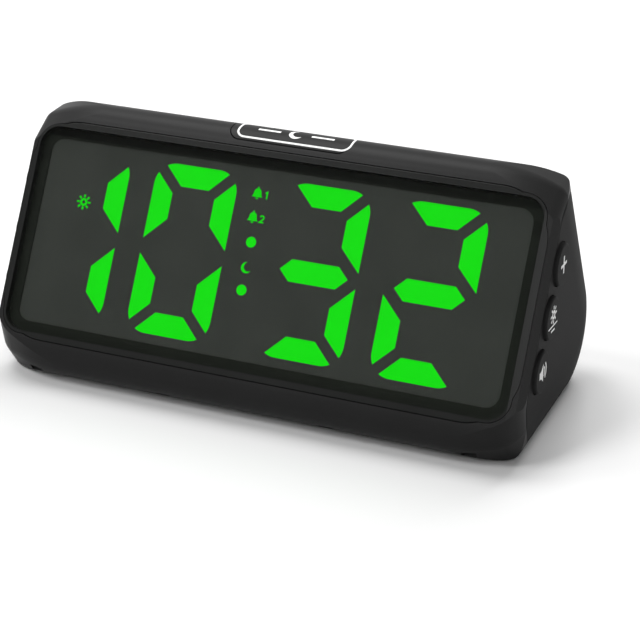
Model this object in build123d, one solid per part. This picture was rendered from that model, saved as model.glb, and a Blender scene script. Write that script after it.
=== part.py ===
from build123d import *
import os
from math import cos, radians, sin, tan

# Digital alarm clock with a wedge case, in millimetres.
# X runs to the right, Y to the back and Z up. The origin is on the table, under the middle.

# Case form
case_width = 153.2
face_height = 61.3
slope = 60.0
chin_radius = 8.1
ridge_radius = 7.15
heel_radius = 16.7
wall = 2.4
end_wall = 4.0
crease_inset = 1.7
crease_depth = 3.4
parting_angle = 245.0
end_edge = 1.4
crown_radius = 30.0
crown_turn = 18.0
crown_edge = 2.5
foot_proud = 0.8

# Roundings of the case's end corners: seen across an edge, a long arc runs into a short one,
# and the curve is swept round the edge between two directions
ridge_corner_rear = 92.5
ridge_corner_front = 121.0
ridge_corner_long = 42.2
ridge_corner_short = 4.5
ridge_corner_turn = 24.7
chin_corner_front = 192.4
chin_corner_low = 215.0
chin_corner_long = 40.3
chin_corner_short = 8.8
chin_corner_turn = 21.0
base_corner_angle = 229.0
base_corner_long = 12.0
base_corner_short = 8.5
base_corner_turn = 28.0

# Fits shared by the pieces
overrun = 20.0
seam = 0.15
running_gap = 0.3
pilot_gap = 0.05

# Clip notches under the chin
notch_width = 4.0
notch_depth = 2.2
notch_inner = 24.0
notch_outer_inset = 13.1

# Front bezel and lens
bezel_strip = 2.0
bezel_rail = 1.85
bezel_corner = 14.0
lens_corner = 5.6
lens_border = 2.6
lens_thickness = 1.8
lens_recess = 0.2
bezel_flange = 1.2
bezel_tube_wall = 0.8
bezel_lip = 1.2
bezel_edge = 0.3
bezel_lean = 12.0

# Digits
digit_margin = 2.75
digit_left = 0.9
digit_right = 11.7
digit_gap = 7.8
digit_lift = 0.2
digit_corner = 6.0
segment_width = 6.0
segment_mitre = 2.15
segment_split = 2.1
bar_inset = 2.6
colon_gap = 14.0
colon_diameter = 2.9
colon_rise = 5.85
colon_drop = 7.2

# Display block and board
block_margin = 0.3
block_gap = 0.2
block_thickness = 5.0
insert_thickness = 3.6
led_length = 2.4
led_width = 1.4
led_height = 0.8
board_thickness = 1.6
display_board_lap = 0.2
display_board_trim = 0.6
ear_width = 7.0
ear_end = 1.6
display_boss_diameter = 3.2
display_boss_inset = 22.9

# Small screws
screw_head = 3.4
screw_head_height = 1.3
screw_shank = 1.6
screw_length = 4.6
cross_length_share = 0.62
cross_width_share = 0.16
cross_depth_share = 0.55

# End panels
panel_thickness = 2.0
panel_margin = 2.0
panel_front = 3.6
panel_lap = 1.0
panel_top_radius = 7.0
panel_back_radius = 5.0
panel_chin_radius = 9.0
panel_low_radius = 6.5
panel_edge = 0.6

# Side buttons
button_diameter = 11.4
button_proud = 1.1
button_edge = 0.5
button_hole_gap = 0.3
button_pitch = 14.1
button_row_depth = 10.1
button_flange_diameter = 13.4
button_flange = 1.0
button_stem = 1.7
button_stem_diameter = 4.0
button_stem_offset = 3.2
button_post_inset = 5.15
button_post_diameter = 5.0
button_board_width = 8.0
button_board_end = 3.0

# Push switches
switch_side = 6.0
switch_height = 3.4
plunger_diameter = 3.2
plunger_out = 1.0
plunger_in = 1.4
plunger_gap = 0.2
well_depth = 2.6

# Snooze key
snooze_length = 34.8
snooze_depth = 9.8
snooze_corner = 3.0
snooze_gap = 0.3
snooze_skin = 1.6
snooze_offset = 2.2
snooze_stem_length = 8.0
snooze_stem_depth = 4.0
snooze_stem_drop = 5.6
snooze_arm = 2.5
snooze_tab = 3.0
snooze_tab_depth = 5.0
snooze_tab_height = 1.2
snooze_tab_drop = 3.55
snooze_board_length = 54.0
snooze_board_depth = 9.0
snooze_post_place = 24.0
snooze_post_diameter = 5.0

# Base: lugs, screws and feet
lug_width = 8.0
lug_height = 4.0
lug_reach = 11.0
lug_lift = 0.8
lug_inner = 20.0
lug_outer_inset = 18.6
case_screw_back = 7.0
case_screw_head = 5.0
case_screw_head_height = 1.4
case_screw_shank = 2.5
case_screw_length = 5.8
case_pad_diameter = 7.0
foot_diameter = 9.0
foot_set = 0.8
foot_front_back = 6.6
foot_rear_inset = 9.6
foot_rear_back = 39.0

# Battery bay, cells and door
cell_diameter = 10.3
cell_length = 44.0
cell_gap = 0.4
bay_wall = 1.4
bay_inset = 20.1
bay_front = 19.5
contact_thickness = 0.5
contact_width = 8.0
contact_spring_length = 4.0
contact_spring_diameter = 5.0
door_margin = 2.5
door_thickness = 1.4
door_travel = 6.0
door_tongue = 0.9
door_tongue_height = 0.6
door_pad = 1.6
grip_length_share = 0.5
grip_place_share = 0.36
grip_depth_share = 0.4
nub_diameter_share = 0.4

# Main board
main_board_gap = 3.0
main_board_inset = 10.6
main_board_front = 12.5
main_board_depth = 29.0
standoff_height = 4.0
standoff_diameter = 5.0
standoff_inset = 4.0
chip_side = 10.0
driver_length = 12.0
driver_width = 7.0
chip_height = 1.6
crystal_diameter = 2.4
crystal_length = 7.0
capacitor_diameter = 6.3
capacitor_height = 9.0
component_edge = 7.5
component_gap = 2.0
component_row = 19.3

# Ribbons
ribbon_thickness = 0.5
display_ribbon_width = 18.0
display_ribbon_start = 12.0
display_ribbon_run = 12.0
button_ribbon_width = 3.6
button_ribbon_back = 14.6
button_ribbon_height = 22.0
button_ribbon_out = 5.0
button_ribbon_low = 1.6
button_ribbon_end = 3.4
ribbon_bend = 1.8

# Speaker
speaker_diameter = 32.0
speaker_rim = 1.4
speaker_depth = 8.0
speaker_seat_diameter = 15.0
speaker_inset = 31.6
speaker_drop = 2.5
speaker_ring_wall = 1.6
speaker_ring_height = 2.4
cone_thickness = 0.6
cone_top_diameter = 27.0
magnet_diameter = 18.0
magnet_thickness = 5.0
grille_slot_width = 1.6
grille_slot_pitch = 3.4
speaker_screw_circle = 20.4

# Power inlet
jack_width = 9.0
jack_height = 11.0
jack_length = 14.0
jack_bore = 6.4
jack_bore_depth = 9.5
jack_pin_diameter = 2.0
jack_pin_length = 8.5
jack_inset = 30.6
jack_drop = 11.0
jack_hole = 8.4
cradle_wall = 1.5
cradle_length = 9.0

# Derived places: the case is a triangle with rounded corners, seen along X
rise = radians(slope)
half_width = case_width / 2
corner_reach = 1 / tan(rise / 2)
side = chin_radius * corner_reach + face_height + ridge_radius * tan(rise)
base_length = 2 * side * cos(rise)
case_depth = base_length - (chin_radius + heel_radius) * (corner_reach - 1)
case_front = -case_depth / 2
toe_y = case_front - chin_radius * (corner_reach - 1)
base_z = foot_proud
floor_z = base_z + wall
mid_reach = chin_radius * corner_reach + face_height / 2
mid_y = toe_y + mid_reach * cos(rise)
mid_z = base_z + mid_reach * sin(rise)
ridge_y = toe_y + base_length / 2
ridge_z = base_z + side * sin(rise) - ridge_radius / cos(rise)
chin_y = case_front + chin_radius
chin_z = base_z + chin_radius
heel_y = toe_y + base_length - heel_radius * corner_reach
heel_z = base_z + heel_radius
back_flat = side - heel_radius * corner_reach - ridge_radius * tan(rise)
back_reach = heel_radius * corner_reach + back_flat / 2
back_y = toe_y + base_length - back_reach * cos(rise)
back_z = base_z + back_reach * sin(rise)

# Derived sizes of the display, from the case inwards
bezel_width = case_width - 2 * crease_inset
lens_width = bezel_width - 2 * bezel_strip
lens_height = face_height - 2 * bezel_rail
window_width = lens_width - 2 * lens_border
window_height = lens_height - 2 * lens_border
digit_height = window_height - 2 * digit_margin
digit_width = (window_width - digit_left - digit_right - 2 * digit_gap - colon_gap) / 4
bar_length = digit_width - 2 * bar_inset

# Working planes: on the display face (x right, y up the face) and on the back slope
front = Plane(origin=(0, mid_y, mid_z), x_dir=(1, 0, 0), z_dir=(0, -sin(rise), cos(rise)))
back = Plane(origin=(0, back_y, back_z), x_dir=(-1, 0, 0), z_dir=(0, sin(rise), cos(rise)))


def behind(sketch, depth, thickness):
    """A plate parallel to the display face, from a depth behind it."""
    return extrude(front.offset(-depth) * sketch, amount=-thickness)


def inside(sketch, depth, thickness):
    """A plate parallel to the back slope, from a depth inside it."""
    return extrude(back.offset(-depth) * sketch, amount=-thickness)


def upright(sketch, low, height):
    """An upright prism on a sketch in plan."""
    return Pos(0, 0, low) * extrude(sketch, amount=height)


def box_between(low, high):
    """A box between two opposite corners."""
    size = [b - a for a, b in zip(low, high)]
    middle = [(a + b) / 2 for a, b in zip(low, high)]
    return Pos(*middle) * Box(*size)


def group(shapes):
    """Separate solids that share one node."""
    return Compound([solid for shape in shapes for solid in shape.solids()])


def screw(plane, x, y, head, head_height, shank, length):
    """A screw whose head stands on the plane and whose shank goes below it."""
    top = extrude(plane * Pos(x, y) * Circle(head / 2), amount=head_height)
    cross = Rectangle(head * cross_length_share, head * cross_width_share)
    cross += Rectangle(head * cross_width_share, head * cross_length_share)
    slot_depth = head_height * cross_depth_share
    slot = plane.offset(head_height) * Pos(x, y) * cross
    body = top - extrude(slot, amount=-slot_depth)
    return body + extrude(plane * Pos(x, y) * Circle(shank / 2), amount=-length)


# Outer form and cavity
def profile(inset):
    """The rounded triangle, moved inwards by an inset."""
    toe = (toe_y + inset * corner_reach, base_z + inset)
    heel = (toe_y + base_length - inset * corner_reach, base_z + inset)
    apex = (toe_y + base_length / 2, base_z + side * sin(rise) - inset / cos(rise))
    face = make_face(Polyline(toe, heel, apex, close=True))
    for point, radius in ((toe, chin_radius), (heel, heel_radius), (apex, ridge_radius)):
        corner = face.vertices().sort_by_distance((point[0], point[1], 0))[0]
        face = fillet(corner, radius - inset)
    return face


def support(angle, centre_y, centre_z, radius):
    """How far a rounded edge reaches along a direction, from the middle of the face."""
    return (centre_y - mid_y) * cos(radians(angle)) + (centre_z - mid_z) * sin(radians(angle)) + radius


ridge_edge = (ridge_y, ridge_z, ridge_radius)
chin_edge = (chin_y, chin_z, chin_radius)
ridge_curve = (ridge_corner_long, ridge_corner_short, ridge_corner_turn)
chin_curve = (chin_corner_long, chin_corner_short, chin_corner_turn)
base_curve = (base_corner_long, base_corner_short, base_corner_turn)

# Each direction of an end corner, with its edge and the curve seen across that edge
ridge_rear = (ridge_corner_rear, ridge_edge, ridge_curve)
ridge_front = (ridge_corner_front, ridge_edge, ridge_curve)
chin_front = (chin_corner_front, chin_edge, chin_curve)
chin_low = (chin_corner_low, chin_edge, chin_curve)
base_front = (base_corner_angle, chin_edge, base_curve)


def corner_curve(curve, top, inset, end):
    """The two arcs of an end corner, from a height down to the end plane."""
    long_radius, short_radius, turn = curve[0] - inset, curve[1] - inset, curve[2]
    lean = sin(radians(turn))
    start = end - long_radius * lean - short_radius * (1 - lean)
    first = JernArc(start=(start, top), tangent=(1, 0), radius=long_radius, arc_size=-turn)
    return first, JernArc(first @ 1, first % 1, short_radius, turn - 90)


def corner_plane(angle, origin):
    """Across an edge: x along it and y in the given direction."""
    direction = radians(angle)
    return Plane(origin=origin, x_dir=(1, 0, 0), z_dir=(0, -sin(direction), cos(direction)))


def corner_block(corner, inset, end_inset):
    """A block that rounds both ends of an edge, seen across that edge."""
    angle, edge, curve = corner
    end = half_width - end_inset
    top = support(angle, *edge) - inset
    bottom = top - case_width
    first, second = corner_curve(curve, top, inset, end)
    sides = Polyline(second @ 1, (end, bottom), (0, bottom), (0, top), first @ 0)
    half = make_face(Curve() + [first, second, sides])
    half_block = extrude(half, amount=case_width, both=True)
    block = half_block + mirror(half_block, about=Plane.YZ)
    return corner_plane(angle, front.origin) * block


def corner_sweep(first_corner, last_corner, inset, end_inset):
    """What goes off the right end of an edge between two directions of its corner."""
    angle, (centre_y, centre_z, radius), curve = first_corner
    end = half_width - end_inset
    outer, top = end + overrun, radius - inset
    first, second = corner_curve(curve, top, inset, end)
    high, low = top + overrun, -overrun
    sides = Polyline(second @ 1, (end, low), (outer, low), (outer, high), ((first @ 0).X, high), first @ 0)
    above = Pos(outer / 2, high / 2) * Rectangle(outer, high)
    removed = make_face(Curve() + [first, second, sides]) & above
    middle = (0, centre_y, centre_z)
    return revolve(
        corner_plane(angle, middle) * removed,
        axis=Axis(middle, (1, 0, 0)),
        revolution_arc=last_corner[0] - angle,
    )


def prism(inset, end_inset):
    """The rounded triangle drawn out along X."""
    length = case_width - 2 * end_inset
    return Pos(-length / 2, 0, 0) * extrude(Plane.YZ * profile(inset), amount=length)


def outer_prism():
    """The outside with a small rounding round both ends."""
    body = prism(0, 0)
    loops = body.faces().sort_by(Axis.X)[0].edges() + body.faces().sort_by(Axis.X)[-1].edges()
    return fillet(loops, end_edge)


def rounded_ends(body, inset, end_inset):
    """Both ends of the ridge, the chin and the base's front fall away in curves."""
    for first, last in ((ridge_rear, ridge_front), (chin_front, chin_low)):
        sweep = corner_sweep(first, last, inset, end_inset)
        body = body - sweep - mirror(sweep, about=Plane.YZ)
    for corner in (ridge_rear, ridge_front, chin_front, chin_low, base_front):
        body &= corner_block(corner, inset, end_inset)
    return body


face_section = Plane(origin=front.origin, x_dir=(1, 0, 0), z_dir=(0, -cos(rise), -sin(rise)))


def crease_cut():
    """The slanted band beside the display face, taken off the right end."""
    crease = half_width - crease_inset
    outer = half_width + overrun
    steps = overrun / crease_depth
    foot = (half_width + crease_inset * steps, -crease_depth - overrun)
    head = (crease - crease_inset * steps, overrun)
    section = make_face(Polyline(head, foot, (outer, -overrun), (outer, overrun), close=True))
    return extrude(face_section * section, amount=side, both=True)


def side_lean():
    """What leans the strip at the right of the lens outwards, off the case and the bezel alike."""
    start = lens_width / 2
    outer = start + overrun
    drop = overrun * tan(radians(bezel_lean))
    section = make_face(Polyline((start, 0), (outer, -drop), (outer, overrun), (start, overrun), close=True))
    return extrude(face_section * section, amount=side, both=True)


crown_curve = (crown_radius, crown_edge, crown_turn)


def crown_section(distance):
    """What goes off an end towards an edge at a distance, with x to that edge and y along X."""
    first, second = corner_curve(crown_curve, half_width, 0, distance)
    start, low = (first @ 0).X, (second @ 1).Y
    outer, beyond = half_width + overrun, distance + overrun
    sides = Polyline(second @ 1, (beyond, low), (beyond, outer), (start, outer), first @ 0)
    return make_face(Curve() + [first, second, sides])


def crown_plane(angle, origin):
    """Across an end: x in the given direction and y along X."""
    direction = radians(angle)
    return Plane(
        origin=origin,
        x_dir=(0, cos(direction), sin(direction)),
        z_dir=(0, sin(direction), -cos(direction)),
    )


def end_crown(angle, distance):
    """What bends the right end inwards and rounds its edge, along the back or the base."""
    section = crown_plane(angle, front.origin) * crown_section(distance)
    return extrude(section, amount=case_width, both=True)


def heel_crown():
    """The same round the heel, between the base and the back."""
    middle = (0, heel_y, heel_z)
    section = crown_plane(270, middle) * crown_section(heel_radius)
    return revolve(section, axis=Axis(middle, (1, 0, 0)), revolution_arc=180 - slope)


back_edge = support(90 - slope, ridge_y, ridge_z, ridge_radius)
base_edge = mid_z - base_z
end_crowns = (end_crown(90 - slope, back_edge), end_crown(270, base_edge), heel_crown())


def rounded(width, height, radius):
    return RectangleRounded(width, height, radius)


def bezel_sketch(grow):
    """Outline of the bezel flange, or of its seat with a clearance."""
    return rounded(bezel_width + 2 * grow, face_height + 2 * grow, bezel_corner + grow)


def tube_sketch(grow):
    """Outline of the part of the bezel that reaches through the case."""
    extra = 2 * (bezel_tube_wall + grow)
    return rounded(lens_width + extra, lens_height + extra, lens_corner + bezel_tube_wall + grow)


bezel_depth = lens_recess + lens_thickness + bezel_lip


# End panels and buttons
def meet(first, second):
    """Where two lines cross, each given as a direction and a distance from the middle of the face."""
    a, p = radians(first[0]), first[1]
    b, q = radians(second[0]), second[1]
    turn_between = sin(b - a)
    y = (p * sin(b) - q * sin(a)) / turn_between
    z = (q * cos(a) - p * cos(b)) / turn_between
    return (mid_y + y, mid_z + z)


panel_back = back_edge - panel_margin
panel_base = base_edge - panel_margin


def corner_line(corner, grow):
    """The panel's edge along the foot of an end corner's rounding."""
    angle, edge, (long_radius, short_radius, turn) = corner
    fall = cos(radians(turn))
    drop = long_radius * (1 - fall) + short_radius * fall
    return angle, support(angle, *edge) - drop + panel_lap + grow


def panel_sketch(grow):
    """Outline of an end panel, seen along X."""
    face_line = (90 + slope, -panel_front + grow)
    front_line = corner_line(ridge_front, grow)
    top_line = corner_line(ridge_rear, grow)
    back_line = (90 - slope, panel_back + grow)
    base_line = (270, panel_base + grow)
    low_line = corner_line(chin_low, grow)
    chin_line = corner_line(chin_front, grow)
    corners = (
        (meet(face_line, front_line), panel_top_radius),
        (meet(front_line, top_line), panel_top_radius),
        (meet(top_line, back_line), panel_back_radius),
        (meet(back_line, base_line), heel_radius - panel_margin),
        (meet(base_line, low_line), panel_low_radius),
        (meet(low_line, chin_line), panel_low_radius),
        (meet(chin_line, face_line), panel_chin_radius),
    )
    face = make_face(Polyline(*[corner for corner, radius in corners], close=True))
    for corner, radius in corners:
        vertex = face.vertices().sort_by_distance((corner[0], corner[1], 0))[0]
        face = fillet(vertex, radius + grow)
    return face


def end_prism(sign, sketch, outer, inner):
    """A prism along X between two distances inside an end's outer face."""
    thickness = inner - outer
    place = Pos(half_width - inner, 0, 0) * extrude(Plane.YZ * sketch, amount=thickness)
    return place if sign > 0 else mirror(place, about=Plane.YZ)


row_y = mid_y + button_row_depth * sin(rise)
row_z = mid_z - button_row_depth * cos(rise)


def row_plane(sign):
    """On an end's outer face: x up along the row of buttons, z outwards."""
    return Plane(
        origin=(sign * half_width, row_y, row_z),
        x_dir=(0, cos(rise), sin(rise)),
        z_dir=(sign, 0, 0),
    )


flange_top = panel_thickness + running_gap
stem_end = flange_top + button_flange + button_stem
switch_top = stem_end + plunger_out
switch_base = switch_top + switch_height
button_places = (button_pitch, 0, -button_pitch)
button_post_place = face_height / 2 - button_post_inset


def stem_side(sign):
    """Offset of the switches from the buttons' line, towards the back."""
    return -sign * button_stem_offset


def button(sign, place):
    """A round key: cap, retaining flange and an offset stem."""
    plane = row_plane(sign)
    cap = Pos(place, 0) * Circle(button_diameter / 2)
    body = extrude(plane.offset(button_proud) * cap, amount=-(button_proud + flange_top))
    rim = body.edges().filter_by(GeomType.CIRCLE).group_by(Axis.X)[-1 if sign > 0 else 0]
    body = fillet(rim, button_edge)
    flange = Pos(place, 0) * Circle(button_flange_diameter / 2)
    body += extrude(plane.offset(-flange_top) * flange, amount=-button_flange)
    stem = Pos(place, stem_side(sign)) * Circle(button_stem_diameter / 2)
    start = flange_top + button_flange
    return body + extrude(plane.offset(-start) * stem, amount=-button_stem)


def plunger(plane, x, y):
    """The moving pin of a push switch, under the plane that the key presses."""
    pin = Pos(x, y) * Circle(plunger_diameter / 2)
    return extrude(plane * pin, amount=-(plunger_out + plunger_in))


def push_switch(plane, x, y):
    """A push switch body with the well that its plunger sinks into."""
    top = plane.offset(-plunger_out)
    body = extrude(top * Pos(x, y) * Rectangle(switch_side, switch_side), amount=-switch_height)
    well = Pos(x, y) * Circle(plunger_diameter / 2 + plunger_gap)
    return body - extrude(top * well, amount=-well_depth)


def end_panel(sign):
    """The plate that closes an end: crowned at the back, heel and base, with three button holes."""
    plate = end_prism(1, panel_sketch(0), 0, panel_thickness)
    plate = fillet(plate.faces().sort_by(Axis.X)[-1].edges(), panel_edge)
    for crown in end_crowns:
        plate -= crown
    if sign < 0:
        plate = mirror(plate, about=Plane.YZ)
    for place in button_places:
        hole = Pos(place, 0) * Circle(button_diameter / 2 + button_hole_gap)
        plate -= extrude(row_plane(sign) * hole, amount=-overrun, both=True)
    return plate


def button_slot(grow):
    """The long opening in the end wall that the button flanges work in."""
    width = button_flange_diameter + 2 * grow
    return SlotCenterToCenter(2 * button_pitch, width)


def button_board(sign):
    """The strip that carries three switches, on two posts."""
    length = 2 * (button_post_place + button_board_end)
    plane = row_plane(sign).offset(-switch_base)
    sketch = Pos(0, stem_side(sign)) * Rectangle(length, button_board_width)
    board = extrude(plane * sketch, amount=-board_thickness)
    for place in (button_post_place, -button_post_place):
        hole = Pos(place, stem_side(sign)) * Circle(screw_shank / 2 + pilot_gap)
        board -= extrude(plane * hole, amount=-board_thickness)
    return board


def button_posts(sign):
    """Posts on the end wall, drilled for the button board's screws."""
    plane = row_plane(sign).offset(-end_wall)
    length = switch_base - end_wall
    posts = Part()
    for place in (button_post_place, -button_post_place):
        spot = Pos(place, stem_side(sign))
        posts += extrude(plane * spot * Circle(button_post_diameter / 2), amount=-length)
        posts -= extrude(plane * spot * Circle(screw_shank / 2 + pilot_gap), amount=-length)
    return posts


def button_screws(sign):
    plane = row_plane(sign).offset(-switch_base - board_thickness)
    inward = Plane(origin=plane.origin, x_dir=plane.x_dir, z_dir=-plane.z_dir)
    flip = -stem_side(sign)
    return [
        screw(inward, place, flip, screw_head, screw_head_height, screw_shank, screw_length)
        for place in (button_post_place, -button_post_place)
    ]


# Snooze key on the ridge
def snooze_plan(grow):
    return Pos(0, ridge_y) * rounded(
        snooze_length + 2 * grow, snooze_depth + 2 * grow, snooze_corner + grow
    )


snooze_pivot_z = ridge_z - snooze_stem_drop
snooze_plane = Plane(origin=(0, ridge_y + snooze_offset, snooze_pivot_z), z_dir=(0, 0, 1))
snooze_board_top = snooze_pivot_z - plunger_out - switch_height
tab_z = ridge_z + ridge_radius - snooze_tab_drop


def snooze_key(outer):
    """A cap that follows the ridge, with a stem over its switch and two retaining tabs."""
    cap = upright(snooze_plan(0), ridge_z, overrun) & outer
    hollow = Cylinder(ridge_radius - snooze_skin, case_width, rotation=(0, 90, 0))
    cap -= Pos(0, ridge_y, ridge_z) * hollow
    stem_top = ridge_z + ridge_radius - snooze_skin
    core = Cylinder(ridge_radius - snooze_skin / 2, case_width, rotation=(0, 90, 0))
    room = Pos(0, ridge_y, ridge_z) * core
    stem = box_between(
        (-snooze_stem_length / 2, ridge_y + snooze_offset - snooze_stem_depth / 2, snooze_pivot_z),
        (snooze_stem_length / 2, ridge_y + snooze_offset + snooze_stem_depth / 2, ridge_z),
    )
    neck = box_between(
        (-snooze_stem_length / 2, ridge_y + snooze_offset - snooze_stem_depth / 2, ridge_z),
        (snooze_stem_length / 2, ridge_y + snooze_offset + snooze_stem_depth / 2, stem_top + overrun),
    )
    key = cap + stem + (neck & room)
    for sign in (-1, 1):
        inner = sign * (snooze_length / 2 - snooze_arm)
        outer_side = sign * snooze_length / 2
        end = outer_side + sign * snooze_tab
        low_y, high_y = ridge_y - snooze_tab_depth / 2, ridge_y + snooze_tab_depth / 2
        tab_low = tab_z - snooze_tab_height
        arm = box_between(
            (min(inner, outer_side), low_y, tab_low),
            (max(inner, outer_side), high_y, stem_top + overrun),
        )
        tab = box_between((min(inner, end), low_y, tab_low), (max(inner, end), high_y, tab_z))
        key += (arm & room) + tab
    return key


def snooze_board():
    plan = Pos(0, ridge_y + snooze_offset) * Rectangle(snooze_board_length, snooze_board_depth)
    board = upright(plan, snooze_board_top - board_thickness, board_thickness)
    for place in (-snooze_post_place, snooze_post_place):
        hole = Pos(place, ridge_y + snooze_offset) * Circle(screw_shank / 2 + pilot_gap)
        board -= upright(hole, snooze_board_top - board_thickness, board_thickness)
    return board


def snooze_posts(cavity):
    """Posts that hang from the ridge's inside and carry the snooze board."""
    posts = Part()
    for place in (-snooze_post_place, snooze_post_place):
        spot = Pos(place, ridge_y + snooze_offset)
        height = ridge_z + ridge_radius - wall / 2 - snooze_board_top
        post = upright(spot * Circle(snooze_post_diameter / 2), snooze_board_top, height)
        pilot = upright(spot * Circle(screw_shank / 2 + pilot_gap), snooze_board_top, screw_length)
        posts += (post & cavity) - pilot
    return posts


def snooze_screws():
    under = Plane(
        origin=(0, ridge_y + snooze_offset, snooze_board_top - board_thickness),
        x_dir=(1, 0, 0),
        z_dir=(0, 0, -1),
    )
    return [
        screw(under, place, 0, screw_head, screw_head_height, screw_shank, screw_length)
        for place in (-snooze_post_place, snooze_post_place)
    ]


# Display
def segment_sketches():
    """The seven bars of one digit, by letter, centred on the digit."""
    w, h, t = digit_width / 2, digit_height / 2, segment_width
    limit = rounded(digit_width, digit_height, digit_corner)
    m = segment_mitre
    top = make_face(
        Polyline((-w + m, h), (w - m, h), (w - m - t, h - t), (-w + m + t, h - t), close=True)
    )
    right = make_face(
        Polyline(
            (w, h - m), (w - t, h - m - t), (w - t, segment_split + t), (w, segment_split), close=True
        )
    )
    reach = bar_length / 2
    flat = reach - t / 2
    upper = ((-reach, 0), (-flat, t / 2), (flat, t / 2))
    lower = ((reach, 0), (flat, -t / 2), (-flat, -t / 2))
    bar = make_face(Polyline(*upper, *lower, close=True))
    top, right = top & limit, right & limit
    return {
        "a": top,
        "b": right,
        "c": mirror(right, about=Plane.XZ),
        "d": mirror(top, about=Plane.XZ),
        "e": mirror(mirror(right, about=Plane.XZ), about=Plane.YZ),
        "f": mirror(right, about=Plane.YZ),
        "g": bar,
    }


digit_pitch = digit_width + digit_gap
hours_tens = -window_width / 2 + digit_left + digit_width / 2
hours_units = hours_tens + digit_pitch
minutes_tens = hours_units + digit_width + colon_gap
digit_centres = (hours_tens, hours_units, minutes_tens, minutes_tens + digit_pitch)
colon_place = (hours_units + minutes_tens) / 2
colon_heights = (colon_rise, -colon_drop)
lit_letters = ("bc", "abcdef", "abcdg", "abdeg")
block_start = lens_recess + lens_thickness + block_gap
board_start = block_start + block_thickness


def placed_segments(lit):
    """Sketches of the lit or the dark bars of all four digits."""
    bars = segment_sketches()
    return [
        Pos(centre, digit_lift) * bars[letter]
        for centre, letters in zip(digit_centres, lit_letters)
        for letter in bars
        if (letter in letters) == lit
    ]


def colon_sketches():
    return [Pos(colon_place, height) * Circle(colon_diameter / 2) for height in colon_heights]


def led_places():
    """Middle of every bar and dot, and whether the chip stands upright there."""
    bars = segment_sketches()
    places = []
    for centre in digit_centres:
        for letter, bar in bars.items():
            spot = bar.center()
            places.append((centre + spot.X, digit_lift + spot.Y, letter in "bcef"))
    return places + [(colon_place, height, False) for height in colon_heights]


def segment_housing():
    """The black block whose wells shape the light of every bar."""
    outline = Rectangle(window_width - 2 * block_margin, window_height - 2 * block_margin)
    block = behind(outline, block_start, block_thickness)
    for sketch in placed_segments(True) + placed_segments(False) + colon_sketches():
        block -= behind(sketch, block_start, block_thickness)
    return block


def display_board():
    """The board behind the block, with four ears for its screws."""
    width = window_width + 2 * display_board_lap
    board = Rectangle(width, window_height - 2 * display_board_trim)
    for x, y in boss_places():
        board += Pos(x, y / 2) * Rectangle(ear_width, abs(y) + 2 * ear_end)
    plate = behind(board, board_start, board_thickness)
    for x, y in boss_places():
        hole = Pos(x, y) * Circle(screw_shank / 2 + pilot_gap)
        plate -= behind(hole, board_start, board_thickness)
    return plate


def boss_places():
    place = lens_width / 2 - display_boss_inset
    height = (window_height / 2 + lens_height / 2 + bezel_tube_wall) / 2
    return [(x, y) for x in (-place, place) for y in (-height, height)]


def display_screws():
    rear = Plane(
        origin=front.offset(-board_start - board_thickness).origin,
        x_dir=(1, 0, 0),
        z_dir=-front.z_dir,
    )
    return [
        screw(rear, x, -y, screw_head, screw_head_height, screw_shank, screw_length)
        for x, y in boss_places()
    ]


def front_bezel():
    """Frame with a flange in front, a pocket for the lens and bosses for the display board."""
    flange = behind(bezel_sketch(0), 0, bezel_flange)
    flange = fillet(flange.faces().sort_by(Axis.Y)[0].edges(), bezel_edge)
    frame = flange + behind(tube_sketch(0), 0, bezel_depth)
    pocket = rounded(lens_width, lens_height, lens_corner)
    frame -= behind(pocket, 0, lens_recess + lens_thickness)
    frame -= behind(Rectangle(window_width, window_height), 0, bezel_depth)
    strip_lean = side_lean()
    frame = frame - strip_lean - mirror(strip_lean, about=Plane.YZ)
    for x, y in boss_places():
        spot = Pos(x, y)
        length = board_start - bezel_depth
        frame += behind(spot * Circle(display_boss_diameter / 2), bezel_depth, length)
        pilot = spot * Circle(screw_shank / 2 + pilot_gap)
        pilot_length = screw_length - board_thickness
        frame -= behind(pilot, board_start - pilot_length, pilot_length)
    return frame


def display_lens():
    grow = -2 * pilot_gap
    plate = rounded(lens_width + grow, lens_height + grow, lens_corner + grow / 2)
    return behind(plate, lens_recess, lens_thickness)


# Base features
lug_outer = half_width - lug_outer_inset
lug_places = (-lug_outer, -lug_inner, lug_inner, lug_outer)
lug_base = floor_z + lug_lift
case_screw_y = chin_y + case_screw_back


def lugs(cavity):
    """Tongues on the chin's inside, which the case screws pull down onto the base."""
    tongues = Part()
    for x in lug_places:
        tongue = box_between(
            (x - lug_width / 2, case_front, lug_base),
            (x + lug_width / 2, chin_y + lug_reach, lug_base + lug_height),
        )
        pilot = upright(
            Pos(x, case_screw_y) * Circle(case_screw_shank / 2 + pilot_gap), lug_base, lug_height
        )
        tongues += (tongue & cavity) - pilot
    return tongues


head_seat = base_z + case_screw_head_height


def case_screws():
    under = Plane(origin=(0, case_screw_y, head_seat), x_dir=(1, 0, 0), z_dir=(0, 0, -1))
    return [
        screw(under, x, 0, case_screw_head, case_screw_head_height, case_screw_shank, case_screw_length)
        for x in lug_places
    ]


foot_front_place = (lug_inner + lug_outer) / 2
foot_rear_place = half_width - foot_rear_inset
foot_places = [
    (sign * x, chin_y + y)
    for x, y in ((foot_front_place, foot_front_back), (foot_rear_place, foot_rear_back))
    for sign in (-1, 1)
]


def rubber_feet():
    return [
        upright(Pos(x, y) * Circle(foot_diameter / 2), 0, foot_proud + foot_set) for x, y in foot_places
    ]


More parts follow.
